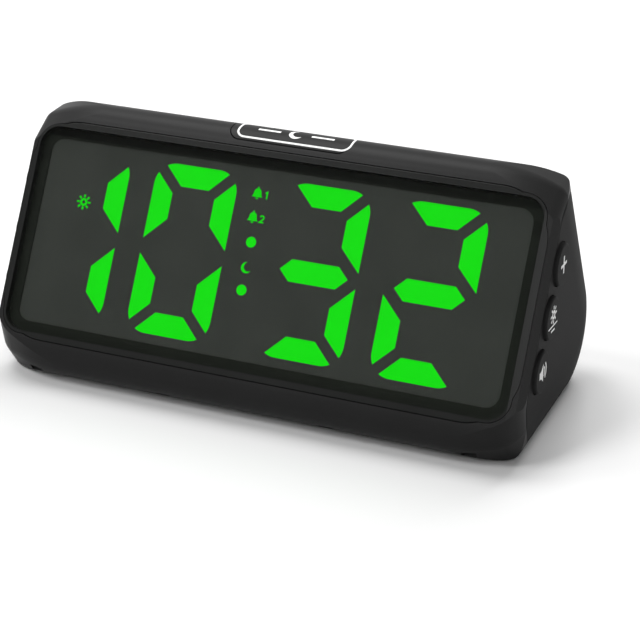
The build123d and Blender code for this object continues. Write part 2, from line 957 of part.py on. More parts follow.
# Battery bay: two cells side by side, over a door that slides along X
cell_pitch = cell_diameter + cell_gap
bay_length = cell_length + contact_spring_length + 2 * contact_thickness
bay_depth = 2 * cell_pitch + cell_gap
bay_centre = -half_width + bay_inset + bay_length / 2
bay_y = chin_y + bay_front + bay_depth / 2
door_seat = base_z + door_thickness + running_gap
bay_floor = door_seat + door_pad
bay_roof = bay_floor + cell_diameter + cell_gap
door_length = bay_length + 2 * door_margin
door_depth = bay_depth + 2 * door_margin
door_slide = door_travel + running_gap
pad_length = door_length + door_slide + 2 * (bay_wall + running_gap)
pad_centre = bay_centre + door_slide / 2


def bay_space():
    plan = Pos(bay_centre, bay_y) * Rectangle(bay_length, bay_depth)
    return upright(plan, base_z - overrun, bay_roof - base_z + overrun)


def bay_walls():
    extra = 2 * bay_wall
    plan = Pos(bay_centre, bay_y) * Rectangle(bay_length + extra, bay_depth + extra)
    walls = upright(plan, floor_z, bay_roof + bay_wall - floor_z)
    pad_plan = Pos(pad_centre, bay_y) * Rectangle(pad_length, door_depth + 4 * bay_wall)
    return walls + upright(pad_plan, floor_z, bay_floor - floor_z)


def door_path(grow):
    """The door's outline, lengthened by its travel when it is grown into its recess."""
    slide = door_travel if grow else 0
    length = door_length + slide + 2 * grow
    spot = Pos(bay_centre + slide / 2, bay_y)
    plate = upright(spot * Rectangle(length, door_depth + 2 * grow), base_z, door_thickness + grow)
    tongue_low = base_z + (door_thickness - door_tongue_height) / 2 - grow
    tongue = Rectangle(length, door_depth + 2 * door_tongue + 2 * grow)
    return plate + upright(spot * tongue, tongue_low, door_tongue_height + 2 * grow)


def battery_door():
    door = door_path(0)
    grip = Rectangle(grille_slot_width, door_depth * grip_length_share)
    for step in (-1, 0, 1):
        place = Pos(bay_centre + door_length * grip_place_share + step * grille_slot_pitch, bay_y)
        door -= upright(place * grip, base_z, door_thickness * grip_depth_share)
    return door


cell_axis_z = bay_floor + cell_gap / 2 + cell_diameter / 2


def cell(y, sign):
    """A round cell along X, with its raised end at one side."""
    body = Cylinder(cell_diameter / 2, cell_length - contact_thickness, rotation=(0, 90, 0))
    nub = Cylinder(cell_diameter * nub_diameter_share / 2, contact_thickness, rotation=(0, 90, 0))
    body_x = bay_centre + sign * (contact_spring_length - contact_thickness) / 2
    nub_x = body_x + sign * cell_length / 2
    return Pos(body_x, y, cell_axis_z) * body + Pos(nub_x, y, cell_axis_z) * nub


def contacts(y, sign):
    """The plate at the raised end, and the plate with its spring at the flat end."""
    plate = Box(contact_thickness, contact_width, contact_width)
    edge = bay_length / 2 - contact_thickness / 2
    spring = Cylinder(contact_spring_diameter / 2, contact_spring_length, rotation=(0, 90, 0))
    spring_x = bay_centre - sign * (bay_length / 2 - contact_thickness - contact_spring_length / 2)
    flat_end = Pos(bay_centre - sign * edge, y, cell_axis_z) * plate
    return [
        Pos(bay_centre + sign * edge, y, cell_axis_z) * plate,
        flat_end + Pos(spring_x, y, cell_axis_z) * spring,
    ]


cell_rows = ((bay_y - cell_pitch / 2, 1), (bay_y + cell_pitch / 2, -1))

# Main board
main_board_y = chin_y + main_board_front
main_board_z = floor_z + standoff_height
main_top = main_board_z + board_thickness
main_board_start = pad_centre + pad_length / 2 + main_board_gap
main_board_end = half_width - main_board_inset
main_board_length = main_board_end - main_board_start
main_middle_x = (main_board_start + main_board_end) / 2
main_middle_y = main_board_y + main_board_depth / 2
standoff_front = main_board_y + standoff_inset
standoff_back = main_board_y + main_board_depth - standoff_inset
standoff_places = [
    (main_board_start + 2 * standoff_inset, standoff_front),
    (main_board_end - 3 * standoff_inset, standoff_front),
    (main_board_start + standoff_inset, standoff_back),
    (main_board_end - standoff_inset, standoff_back),
]


def main_board():
    plan = Pos(main_middle_x, main_middle_y) * Rectangle(main_board_length, main_board_depth)
    board = upright(plan, main_board_z, board_thickness)
    for x, y in standoff_places:
        board -= upright(Pos(x, y) * Circle(screw_shank / 2 + pilot_gap), main_board_z, board_thickness)
    return board


def standoffs():
    posts = Part()
    for x, y in standoff_places:
        posts += upright(Pos(x, y) * Circle(standoff_diameter / 2), floor_z, standoff_height)
        posts -= upright(Pos(x, y) * Circle(screw_shank / 2 + pilot_gap), floor_z, standoff_height)
    return posts


def main_board_screws():
    over = Plane(origin=(0, 0, main_top), z_dir=(0, 0, 1))
    return [
        screw(over, x, y, screw_head, screw_head_height, screw_shank, screw_length)
        for x, y in standoff_places
    ]


# Components stand in a row from the board's left end, with the crystal behind the clock chip
row_on_board = main_board_y + component_row
driver_x = main_board_start + component_edge + driver_width / 2
chip_x = driver_x + driver_width / 2 + component_gap + chip_side / 2
capacitor_x = chip_x + chip_side / 2 + component_gap + capacitor_diameter / 2
crystal_y = row_on_board + chip_side / 2 + running_gap + crystal_diameter / 2


def clock_chip():
    return upright(Pos(chip_x, row_on_board) * Rectangle(chip_side, chip_side), main_top, chip_height)


def display_driver():
    plan = Pos(driver_x, row_on_board) * Rectangle(driver_width, driver_length)
    return upright(plan, main_top, chip_height)


def timing_crystal():
    can = Cylinder(crystal_diameter / 2, crystal_length, rotation=(0, 90, 0))
    return Pos(chip_x, crystal_y, main_top + crystal_diameter / 2) * can


def filter_capacitor():
    plan = Pos(capacitor_x, row_on_board) * Circle(capacitor_diameter / 2)
    return upright(plan, main_top, capacitor_height)


# Ribbons
def display_ribbon():
    """From the display board's back, down to the main board."""
    start_depth = board_start + board_thickness
    start = front.offset(-start_depth).from_local_coords((0, -display_ribbon_start, 0))
    turn_y = start.Y + display_ribbon_run * sin(rise)
    turn_z = start.Z - display_ribbon_run * cos(rise)
    path = FilletPolyline(
        (start.Y, start.Z), (turn_y, turn_z), (turn_y, main_top), radius=ribbon_bend
    )
    strip = extrude(Plane.YZ * trace(path, ribbon_thickness), amount=display_ribbon_width / 2, both=True)
    board_back = behind(Rectangle(case_width, side), 0, start_depth)
    return Pos(main_middle_x, 0, 0) * (strip - board_back)


board_inner = half_width - switch_base - board_thickness
ribbon_y = chin_y + button_ribbon_back


def cross_strip(points):
    """A ribbon that runs in an upright plane along X."""
    path = FilletPolyline(*points, radius=ribbon_bend)
    strip = extrude(Plane.XZ * trace(path, ribbon_thickness), amount=button_ribbon_width / 2, both=True)
    return Pos(0, ribbon_y, 0) * strip


def right_ribbon():
    out = board_inner - button_ribbon_out
    return cross_strip(((board_inner, button_ribbon_height), (out, button_ribbon_height), (out, main_top)))


def left_ribbon():
    out = -board_inner + button_ribbon_out
    low = floor_z + button_ribbon_low
    lift = main_board_start - button_ribbon_out
    rest = main_top + ribbon_thickness / 2
    return cross_strip(
        (
            (-board_inner, button_ribbon_height),
            (out, button_ribbon_height),
            (out, low),
            (lift, low),
            (lift, rest),
            (main_board_start + button_ribbon_end, rest),
        )
    )


# Speaker behind the back slope
speaker_place = half_width - speaker_inset
speaker_spot = Pos(-speaker_place, -speaker_drop)


def speaker_frame():
    """Rim and tapered basket, open towards the grille."""
    rim = inside(speaker_spot * Circle(speaker_diameter / 2), wall, speaker_rim)
    wide = back.offset(-wall - speaker_rim) * speaker_spot * Circle(cone_top_diameter / 2 + speaker_rim)
    narrow = back.offset(-wall - speaker_depth) * speaker_spot * Circle(magnet_diameter / 2)
    body = rim + loft([wide, narrow])
    return body - speaker_hollow(0)


def speaker_hollow(shrink):
    """The room inside the basket, or inside the cone."""
    wide = back.offset(-wall) * speaker_spot * Circle(cone_top_diameter / 2 - shrink)
    seat = wall + speaker_depth - speaker_rim
    narrow = back.offset(-seat + shrink) * speaker_spot * Circle(speaker_seat_diameter / 2 - shrink)
    return loft([wide, narrow])


def speaker_cone():
    return speaker_hollow(0) - speaker_hollow(cone_thickness)


def speaker_magnet():
    return inside(speaker_spot * Circle(magnet_diameter / 2), wall + speaker_depth, magnet_thickness)


def speaker_ring():
    outer = speaker_spot * Circle(speaker_diameter / 2 + seam + speaker_ring_wall)
    inner = speaker_spot * Circle(speaker_diameter / 2 + seam)
    ring = inside(outer - inner, wall, speaker_ring_height)
    for spot in speaker_screw_places():
        boss = spot * Circle(standoff_diameter / 2)
        ring += inside(boss, wall, speaker_rim) - inside(inner, wall, speaker_rim)
        ring -= inside(spot * Circle(screw_head / 2 + seam), wall + speaker_rim, speaker_ring_height)
        ring -= inside(spot * Circle(screw_shank / 2 + pilot_gap), wall, speaker_rim)
    return ring


def speaker_screw_places():
    quarter = speaker_screw_circle * cos(radians(45))
    return [speaker_spot * Pos(sx * quarter, sy * quarter) for sx in (-1, 1) for sy in (-1, 1)]


def speaker_screws():
    seat = back.offset(-wall - speaker_rim)
    inward = Plane(origin=seat.origin, x_dir=(1, 0, 0), z_dir=-back.z_dir)
    length = speaker_rim + wall / 2
    return [
        screw(inward, -spot.position.X, spot.position.Y, screw_head, screw_head_height, screw_shank, length)
        for spot in speaker_screw_places()
    ]


def grille_slots():
    """Slots whose lengths follow a circle."""
    slots = Sketch()
    radius = cone_top_diameter / 2
    rows = int(radius // grille_slot_pitch)
    for row in range(-rows, rows + 1):
        height = row * grille_slot_pitch
        half = (radius**2 - height**2) ** 0.5
        if half > grille_slot_width:
            slots += speaker_spot * Pos(0, height) * SlotOverall(2 * half, grille_slot_width)
    return slots


# Power inlet behind the back slope
jack_spot = Pos(half_width - jack_inset, -jack_drop)


def power_jack():
    body = inside(jack_spot * Rectangle(jack_width, jack_height), wall, jack_length)
    return body - inside(jack_spot * Circle(jack_bore / 2), wall, jack_bore_depth)


def jack_pin():
    start = wall + jack_bore_depth - jack_pin_length
    return inside(jack_spot * Circle(jack_pin_diameter / 2), start, jack_pin_length)


def jack_cradle():
    """Walls that hold the inlet on all four sides."""
    extra = 2 * cradle_wall
    outer = Rectangle(jack_width + extra, jack_height + extra)
    return inside(jack_spot * (outer - Rectangle(jack_width, jack_height)), wall, cradle_length)


# Shells
def chin_notches():
    """Clip notches in the front case's lower edge."""
    angle = radians(parting_angle)
    y = chin_y + chin_radius * cos(angle)
    z = chin_z + chin_radius * sin(angle)
    half = notch_width / 2
    notch_outer = half_width - notch_outer_inset
    return [
        box_between((x - half, y - notch_depth, z - overrun), (x + half, y + overrun, z + notch_depth))
        for x in (-notch_outer, -notch_inner, notch_inner, notch_outer)
    ]


def parting_plane():
    """From the underside of the chin to the back of the ridge."""
    low = radians(parting_angle)
    high = radians(90 - slope)
    start = (chin_y + chin_radius * cos(low), chin_z + chin_radius * sin(low))
    end = (ridge_y + ridge_radius * cos(high), ridge_z + ridge_radius * sin(high))
    run, climb = end[0] - start[0], end[1] - start[1]
    return Plane(origin=(0, start[0], start[1]), x_dir=(1, 0, 0), z_dir=(0, -climb, run))


outer_form = rounded_ends(outer_prism(), 0, 0)
for right_cut in (crease_cut(), side_lean(), *end_crowns):
    outer_form = outer_form - right_cut - mirror(right_cut, about=Plane.YZ)
cavity = rounded_ends(prism(wall, end_wall), wall, end_wall)
shell = outer_form - cavity
shell -= behind(bezel_sketch(seam), 0, bezel_flange)
shell -= behind(tube_sketch(seam), 0, bezel_depth + seam)
for sign in (-1, 1):
    shell -= end_prism(sign, panel_sketch(seam), -overrun, panel_thickness)
    shell -= extrude(row_plane(sign).offset(-panel_thickness) * button_slot(running_gap), amount=-end_wall)

parting = parting_plane()
front_case = split(shell, bisect_by=parting, keep=Keep.TOP)
rear_shell = split(shell, bisect_by=parting, keep=Keep.BOTTOM)

front_case += lugs(cavity) + snooze_posts(cavity)
front_case -= upright(snooze_plan(snooze_gap), ridge_z, overrun)
for notch in chin_notches():
    front_case -= notch

for sign in (-1, 1):
    rear_shell += button_posts(sign)
rear_shell += standoffs() + bay_walls() + speaker_ring() + jack_cradle()
rear_shell -= bay_space()
rear_shell -= door_path(running_gap)
rear_shell -= inside(grille_slots(), -overrun, wall + overrun)
rear_shell -= inside(jack_spot * Circle(jack_hole / 2), -overrun, wall + overrun)
for spot in speaker_screw_places():
    rear_shell -= inside(spot * Circle(screw_shank / 2 + pilot_gap), wall / 2, wall / 2)
for x, y in foot_places:
    rear_shell -= upright(Pos(x, y) * Circle(foot_diameter / 2), base_z, foot_set)
for x in lug_places:
    spot = Pos(x, case_screw_y)
    rear_shell += upright(spot * Circle(case_pad_diameter / 2), floor_z, lug_lift)
    head_room = case_screw_head / 2 + seam
    rear_shell -= upright(spot * Circle(head_room), base_z, case_screw_head_height)
    shank_room = case_screw_shank / 2 + seam
    rear_shell -= upright(spot * Circle(shank_room), base_z, wall + lug_lift)


# Nodes
def inserts(sketches):
    """Light diffusers in the wells of the display block."""
    return group([behind(sketch, block_start, insert_thickness) for sketch in sketches])


def segment_leds():
    """One light chip on the board behind every bar and dot."""
    chips = []
    for x, y, tall in led_places():
        plan = Rectangle(led_width, led_length) if tall else Rectangle(led_length, led_width)
        chips.append(behind(Pos(x, y) * plan, board_start - led_height, led_height))
    return chips


nodes = {
    "front_case": front_case,
    "rear_shell": rear_shell,
    "front_bezel": front_bezel(),
    "display_lens": display_lens(),
    "segment_housing": segment_housing(),
    "lit_segments": inserts(placed_segments(True)),
    "dark_segments": inserts(placed_segments(False)),
    "colon_dots": inserts(colon_sketches()),
    "display_board": display_board(),
    "segment_leds": group(segment_leds()),
    "display_screws": group(display_screws()),
    "right_end_panel": end_panel(1),
    "left_end_panel": end_panel(-1),
    "right_button_board": button_board(1),
    "left_button_board": button_board(-1),
    "button_board_screws": group(button_screws(1) + button_screws(-1)),
    "snooze_key": snooze_key(outer_form),
    "snooze_plunger": plunger(snooze_plane, 0, 0),
    "snooze_switch": push_switch(snooze_plane, 0, 0),
    "snooze_board": snooze_board(),
    "snooze_board_screws": group(snooze_screws()),
    "main_board": main_board(),
    "main_board_screws": group(main_board_screws()),
    "clock_chip": clock_chip(),
    "display_driver": display_driver(),
    "timing_crystal": timing_crystal(),
    "filter_capacitor": filter_capacitor(),
    "display_ribbon": display_ribbon(),
    "right_button_ribbon": right_ribbon(),
    "left_button_ribbon": left_ribbon(),
    "speaker_frame": speaker_frame(),
    "speaker_cone": speaker_cone(),
    "speaker_magnet": speaker_magnet(),
    "speaker_screws": group(speaker_screws()),
    "power_jack": power_jack(),
    "jack_pin": jack_pin(),
    "battery_door": battery_door(),
    "backup_cells": group([cell(y, sign) for y, sign in cell_rows]),
    "battery_contacts": group([piece for y, sign in cell_rows for piece in contacts(y, sign)]),
    "rubber_feet": group(rubber_feet()),
    "case_screws": group(case_screws()),
}

button_names = {
    1: ("plus_button", "brightness_button", "volume_button"),
    -1: ("minus_button", "set_button", "alarm_button"),
}
for sign, side_name in ((1, "right"), (-1, "left")):
    press_plane = row_plane(sign).offset(-stem_end)
    switches = [push_switch(press_plane, place, stem_side(sign)) for place in button_places]
    nodes[side_name + "_switches"] = group(switches)
    for name, place in zip(button_names[sign], button_places):
        nodes[name] = button(sign, place)
        plunger_name = name.replace("button", "plunger")
        nodes[plunger_name] = plunger(press_plane, place, stem_side(sign))

os.makedirs("parts", exist_ok=True)
for name, shape in nodes.items():
    export_step(shape, os.path.join("parts", name + ".step"))
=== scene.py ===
import bmesh
import bpy
from math import acos, atan2, cos, pi, radians, sin
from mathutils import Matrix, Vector


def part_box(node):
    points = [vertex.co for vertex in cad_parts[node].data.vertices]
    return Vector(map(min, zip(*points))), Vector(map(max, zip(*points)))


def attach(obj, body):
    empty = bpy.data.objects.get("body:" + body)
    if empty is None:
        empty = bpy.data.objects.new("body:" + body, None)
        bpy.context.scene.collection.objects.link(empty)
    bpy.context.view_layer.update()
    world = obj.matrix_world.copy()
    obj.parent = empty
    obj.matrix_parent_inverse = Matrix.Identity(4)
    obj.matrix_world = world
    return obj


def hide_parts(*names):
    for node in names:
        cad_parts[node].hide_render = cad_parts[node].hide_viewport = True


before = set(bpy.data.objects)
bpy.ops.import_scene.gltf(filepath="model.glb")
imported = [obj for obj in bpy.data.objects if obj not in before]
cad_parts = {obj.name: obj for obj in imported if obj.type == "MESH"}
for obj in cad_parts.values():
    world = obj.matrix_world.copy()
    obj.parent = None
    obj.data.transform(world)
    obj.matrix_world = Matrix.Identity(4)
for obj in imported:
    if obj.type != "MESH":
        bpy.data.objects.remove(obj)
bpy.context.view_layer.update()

# Sizes in millimetres, as in the solids
MM = 0.001
slope = radians(60)
ridge_radius = 7.15
lens_recess = 0.2
lens_thickness = 1.8
lens_width = 145.7
lens_height = 57.5
lens_corner = 5.55
window_width = 140.0
window_height = 51.7
window_corner = 3.8
block_gap = 0.2


# Places: a flat drawing in millimetres is laid on the display, on the ridge or on a button
def box_of(name):
    """A node's lowest and highest corners, in millimetres."""
    low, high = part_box(name)
    return Vector(low) / MM, Vector(high) / MM


lens_low, lens_high = box_of("display_lens")
key_low, key_high = box_of("snooze_key")
face_up = Vector((0, cos(slope), sin(slope)))
face_normal = Vector((0, -sin(slope), cos(slope)))
lens_middle = (lens_low + lens_high) / 2
face_middle = lens_middle + face_normal * (lens_recess + lens_thickness / 2)
block_depth = lens_recess + lens_thickness + block_gap
ridge_y = (key_low.y + key_high.y) / 2
ridge_z = key_high.z - ridge_radius


def on_face(depth):
    """Drawing x runs right and y up the display; the drawing's z stands out of it."""
    def place(x, y, z):
        return (face_middle + Vector((x, 0, 0)) + face_up * y + face_normal * (z - depth)) * MM
    return place


def on_ridge(x, y, z):
    """Drawing x runs along the ridge and y is wrapped over it, to the back."""
    turn = y / ridge_radius
    radius = ridge_radius + z
    return Vector((x, ridge_y + radius * sin(turn), ridge_z + radius * cos(turn))) * MM


def on_button(name):
    """Drawing upright on the top of a button, seen from outside its end."""
    low, high = box_of(name)
    middle = (low + high) / 2
    sign = 1 if middle.x > 0 else -1
    top = high.x if sign > 0 else low.x

    def place(x, y, z):
        return Vector((top + sign * z, middle.y + sign * x, middle.z + y)) * MM
    return place


# Flat outlines, as lists of points in millimetres
def circle(x, y, radius, count=40):
    """A full circle."""
    angles = [2 * pi * k / count for k in range(count)]
    return [(x + radius * cos(angle), y + radius * sin(angle)) for angle in angles]


def arc(x, y, radius, start, end, steps=14):
    """Part of a circle, between two angles in degrees."""
    angles = [radians(start + (end - start) * k / steps) for k in range(steps + 1)]
    return [(x + radius * cos(angle), y + radius * sin(angle)) for angle in angles]


def rounded_rect(width, height, radius, x=0.0, y=0.0, steps=10):
    """A rectangle with round corners, about a middle point."""
    points = []
    for k, (side_x, side_y) in enumerate(((1, 1), (-1, 1), (-1, -1), (1, -1))):
        corner_x = x + side_x * (width / 2 - radius)
        corner_y = y + side_y * (height / 2 - radius)
        for step in range(steps + 1):
            angle = (k + step / steps) * pi / 2
            points.append((corner_x + radius * cos(angle), corner_y + radius * sin(angle)))
    return points


def bar(x0, y0, x1, y1, width):
    """A straight stroke with square ends."""
    along = Vector((x1 - x0, y1 - y0)).normalized()
    across = Vector((-along.y, along.x)) * (width / 2)
    return [
        (x0 - across.x, y0 - across.y),
        (x1 - across.x, y1 - across.y),
        (x1 + across.x, y1 + across.y),
        (x0 + across.x, y0 + across.y),
    ]


def stroke(points, width, least_lean=0.4):
    """A stroke along a bent line, with mitred corners."""
    left, right = [], []
    for k, point in enumerate(points):
        here = Vector(point)
        before = (here - Vector(points[k - 1])).normalized() if k else None
        after = (Vector(points[k + 1]) - here).normalized() if k + 1 < len(points) else None
        coming = before or after
        going = after or before
        along = (coming + going).normalized()
        across = Vector((-along.y, along.x))
        lean = max(across.dot(Vector((-going.y, going.x))), least_lean)
        offset = across * (width / 2 / lean)
        left.append((here.x + offset.x, here.y + offset.y))
        right.append((here.x - offset.x, here.y - offset.y))
    return right + left[::-1]


def dense(points, step=0.25):
    """The same closed outline with points close together, for wrapping over a curve."""
    result = []
    for k, (x, y) in enumerate(points):
        next_x, next_y = points[(k + 1) % len(points)]
        count = max(1, int(((next_x - x) ** 2 + (next_y - y) ** 2) ** 0.5 / step))
        result += [(x + (next_x - x) * j / count, y + (next_y - y) * j / count) for j in range(count)]
    return result


def crescent(x, y, radius, shift_share=0.42, bite_share=0.86, lean_degrees=30, steps=40):
    """A moon: a disc less a smaller disc to its upper right."""
    shift = radius * shift_share
    bite = radius * bite_share
    lean = radians(lean_degrees)
    cut = acos((radius**2 + shift**2 - bite**2) / (2 * radius * shift))
    inner = atan2(radius * sin(cut), radius * cos(cut) - shift)
    outer_angles = [cut + (2 * pi - 2 * cut) * k / steps for k in range(steps + 1)]
    inner_angles = [-inner - (2 * pi - 2 * inner) * k / steps for k in range(1, steps)]
    points = [(radius * cos(angle), radius * sin(angle)) for angle in outer_angles]
    points += [(shift + bite * cos(angle), bite * sin(angle)) for angle in inner_angles]
    return [(x + u * cos(lean) - v * sin(lean), y + u * sin(lean) + v * cos(lean)) for u, v in points]


def sun(x, y, radius, rays=8):
    """A small ring with rays round it."""
    ring = radius * 0.52
    hole = radius * 0.24
    ray_start = radius * 0.62
    ray_width = radius * 0.24
    loops = [circle(x, y, ring), circle(x, y, hole)]
    for k in range(rays):
        angle = 2 * pi * k / rays
        near = (x + ray_start * cos(angle), y + ray_start * sin(angle))
        far = (x + radius * cos(angle), y + radius * sin(angle))
        loops.append(bar(*near, *far, ray_width))
    return loops


def bell(x, y, size):
    """A bell with a knob above and its clapper below."""
    dome_y = y + 0.12 * size
    dome_radius = 0.33 * size
    waist_half = 0.38 * size
    waist_y = y - 0.15 * size
    rim_half = 0.5 * size
    rim_y = y - 0.3 * size
    clapper_y = y - 0.36 * size
    clapper_radius = 0.13 * size
    knob_y = y + 0.53 * size
    knob_radius = 0.07 * size
    body = arc(x, dome_y, dome_radius, start=180, end=0)
    body += [(x + waist_half, waist_y), (x + rim_half, rim_y)]
    body += [(x - rim_half, rim_y), (x - waist_half, waist_y)]
    clapper = arc(x, clapper_y, clapper_radius, start=180, end=360)
    return [body, clapper, circle(x, knob_y, knob_radius, count=16)]


def numeral_one(x, y, size, width):
    """A one with a short flag."""
    flag = (x - 0.2 * size, y + 0.28 * size)
    top = (x + 0.08 * size, y + 0.46 * size)
    foot = (x + 0.08 * size, y - 0.5 * size)
    return [stroke([flag, top, foot], width)]


def numeral_two(x, y, size, width):
    """A two: a hook that runs down into a straight foot."""
    hook = arc(x, y + 0.22 * size, 0.27 * size, start=165, end=-40, steps=10)
    foot_y = y - 0.43 * size
    foot = [(x - 0.27 * size, foot_y), (x + 0.32 * size, foot_y)]
    return [stroke(hook + foot, width)]


# Meshes: points that are closer than the weld distance, in metres, become one
weld_distance = 1e-7


def filled(name, loops, thickness, place, material, body):
    """A thin plate from closed outlines, holes included, laid where place says."""
    curve = bpy.data.curves.new(name + "_outline", "CURVE")
    curve.dimensions = "2D"
    curve.fill_mode = "BOTH"
    curve.extrude = thickness / 2
    for loop in loops:
        spline = curve.splines.new("POLY")
        spline.points.add(len(loop) - 1)
        for point, (x, y) in zip(spline.points, loop):
            point.co = (x, y, 0, 1)
        spline.use_cyclic_u = True
    holder = bpy.data.objects.new(name + "_outline", curve)
    bpy.context.collection.objects.link(holder)
    bpy.context.view_layer.update()
    flat = holder.evaluated_get(bpy.context.evaluated_depsgraph_get())
    mesh = bpy.data.meshes.new_from_object(flat)
    bpy.data.objects.remove(holder)
    bpy.data.curves.remove(curve)
    mesh.name = name
    for vertex in mesh.vertices:
        vertex.co = place(*vertex.co)
    work = bmesh.new()
    work.from_mesh(mesh)
    bmesh.ops.remove_doubles(work, verts=work.verts, dist=weld_distance)
    bmesh.ops.recalc_face_normals(work, faces=work.faces)
    work.to_mesh(mesh)
    work.free()
    mesh.materials.clear()
    mesh.materials.append(material)
    piece = bpy.data.objects.new(name, mesh)
    bpy.context.collection.objects.link(piece)
    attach(piece, body)
    return piece


# Parts of a material
def new_material(name):
    """A material with its node tree and its shader."""
    material = bpy.data.materials.new(name)
    material.use_nodes = True
    tree = material.node_tree
    shader = tree.nodes["Principled BSDF"]
    return material, tree, shader


def coordinates(tree, stretch=(1, 1, 1)):
    """Places on the object, in metres, stretched along the axes."""
    source = tree.nodes.new("ShaderNodeTexCoord")
    mapping = tree.nodes.new("ShaderNodeMapping")
    mapping.inputs["Scale"].default_value = stretch
    tree.links.new(source.outputs["Object"], mapping.inputs["Vector"])
    return mapping.outputs["Vector"]


def noise(tree, vector, scale, detail=3.0, rough=0.55):
    """A cloudy value from nothing to one."""
    node = tree.nodes.new("ShaderNodeTexNoise")
    node.inputs["Scale"].default_value = scale
    node.inputs["Detail"].default_value = detail
    node.inputs["Roughness"].default_value = rough
    tree.links.new(vector, node.inputs["Vector"])
    return node.outputs["Fac"]


def ramp(tree, value, stops):
    """A colour that follows a value through the stops."""
    node = tree.nodes.new("ShaderNodeValToRGB")
    elements = node.color_ramp.elements
    while len(elements) < len(stops):
        elements.new(0.5)
    for element, (position, colour) in zip(elements, stops):
        element.position = position
        element.color = (*colour, 1)
    tree.links.new(value, node.inputs["Fac"])
    return node.outputs["Color"]


def spread(tree, value, low, high):
    """The value from nothing to one, spread from low to high."""
    node = tree.nodes.new("ShaderNodeMapRange")
    node.inputs["To Min"].default_value = low
    node.inputs["To Max"].default_value = high
    tree.links.new(value, node.inputs["Value"])
    return node.outputs["Result"]


def bump(tree, shader, height, strength, distance):
    """A relief on the surface that follows the height."""
    node = tree.nodes.new("ShaderNodeBump")
    node.inputs["Strength"].default_value = strength
    node.inputs["Distance"].default_value = distance
    tree.links.new(height, node.inputs["Height"])
    tree.links.new(node.outputs["Normal"], shader.inputs["Normal"])


def grey(level):
    """A colour with no hue."""
    return (level, level, level)


def shade(colour, factor):
    """A darker or lighter copy of a colour."""
    return tuple(channel * factor for channel in colour)


def tint(tree, shader, value, colour, stops, shades, socket="Base Color"):
    """A colour from one shade to another, where the value goes from the first stop to the second."""
    tones = [(stop, shade(colour, factor)) for stop, factor in zip(stops, shades)]
    tree.links.new(ramp(tree, value, tones), shader.inputs[socket])


def roughen(tree, shader, value, low, high):
    """Roughness from low to high, following the value."""
    tree.links.new(spread(tree, value, low, high), shader.inputs["Roughness"])


# Kinds of material
def moulded(name, colour, rough, grain=2400, depth=0.00006, specular=0.35):
    """Moulded plastic: a fine spark-eroded grain, with faint changes of tone and gloss."""
    material, tree, shader = new_material(name)
    place = coordinates(tree)
    cloud = noise(tree, place, scale=70, detail=4)
    tint(tree, shader, cloud, colour, stops=(0.3, 0.7), shades=(0.9, 1.1))
    roughen(tree, shader, cloud, low=rough - 0.04, high=rough + 0.05)
    grains = noise(tree, place, scale=grain, detail=2)
    bump(tree, shader, grains, strength=0.25, distance=depth)
    shader.inputs["Specular IOR Level"].default_value = specular
    return material


def glossy_black(name, colour):
    """Black print behind a clear lens, with the faintest flow marks."""
    material, tree, shader = new_material(name)
    cloud = noise(tree, coordinates(tree), scale=30, detail=2)
    tint(tree, shader, cloud, colour, stops=(0.35, 0.65), shades=(0.95, 1.05))
    roughen(tree, shader, cloud, low=0.24, high=0.3)
    shader.inputs["Specular IOR Level"].default_value = 0.02
    return material


def smoked(name, colour, alpha):
    """The tinted window: dark, part clear, with a soft gloss."""
    material, tree, shader = new_material(name)
    cloud = noise(tree, coordinates(tree), scale=25, detail=2)
    tint(tree, shader, cloud, colour, stops=(0.35, 0.65), shades=(0.98, 1.02))
    roughen(tree, shader, cloud, low=0.3, high=0.36)
    shader.inputs["Specular IOR Level"].default_value = 0.05
    shader.inputs["Alpha"].default_value = alpha
    return material


def glowing(name, colour, strength, unlit):
    """A translucent diffuser lit from behind, a little uneven as the chips behind it are."""
    material, tree, shader = new_material(name)
    cloud = noise(tree, coordinates(tree), scale=160, detail=2)
    tint(tree, shader, cloud, unlit, stops=(0.3, 0.7), shades=(0.95, 1.05))
    tint(tree, shader, cloud, colour, stops=(0.3, 0.7), shades=(0.97, 1.0), socket="Emission Color")
    shader.inputs["Emission Strength"].default_value = strength
    shader.inputs["Roughness"].default_value = 0.6
    shader.inputs["Specular IOR Level"].default_value = 0.02
    return material


def laminate(name):
    """A green circuit board with fine tracks under its solder mask."""
    material, tree, shader = new_material(name)
    place = coordinates(tree)
    tracks = tree.nodes.new("ShaderNodeTexBrick")
    tracks.inputs["Scale"].default_value = 260
    tracks.inputs["Mortar Size"].default_value = 0.06
    tracks.inputs["Color1"].default_value = (0.012, 0.075, 0.035, 1)
    tracks.inputs["Color2"].default_value = (0.015, 0.09, 0.04, 1)
    tracks.inputs["Mortar"].default_value = (0.03, 0.16, 0.06, 1)
    tree.links.new(place, tracks.inputs["Vector"])
    tree.links.new(tracks.outputs["Color"], shader.inputs["Base Color"])
    roughen(tree, shader, noise(tree, place, scale=300), low=0.28, high=0.4)
    bump(tree, shader, tracks.outputs["Fac"], strength=0.2, distance=0.00004)
    return material


def metal(name, colour, rough, stretch=(1, 1, 1), scale=900):
    """Plated metal with fine marks from its making."""
    material, tree, shader = new_material(name)
    marks = noise(tree, coordinates(tree, stretch), scale, detail=4, rough=0.7)
    tint(tree, shader, marks, colour, stops=(0.3, 0.7), shades=(0.85, 1.05))
    roughen(tree, shader, marks, low=rough - 0.08, high=rough + 0.1)
    bump(tree, shader, marks, strength=0.15, distance=0.00003)
    shader.inputs["Metallic"].default_value = 1.0
    return material


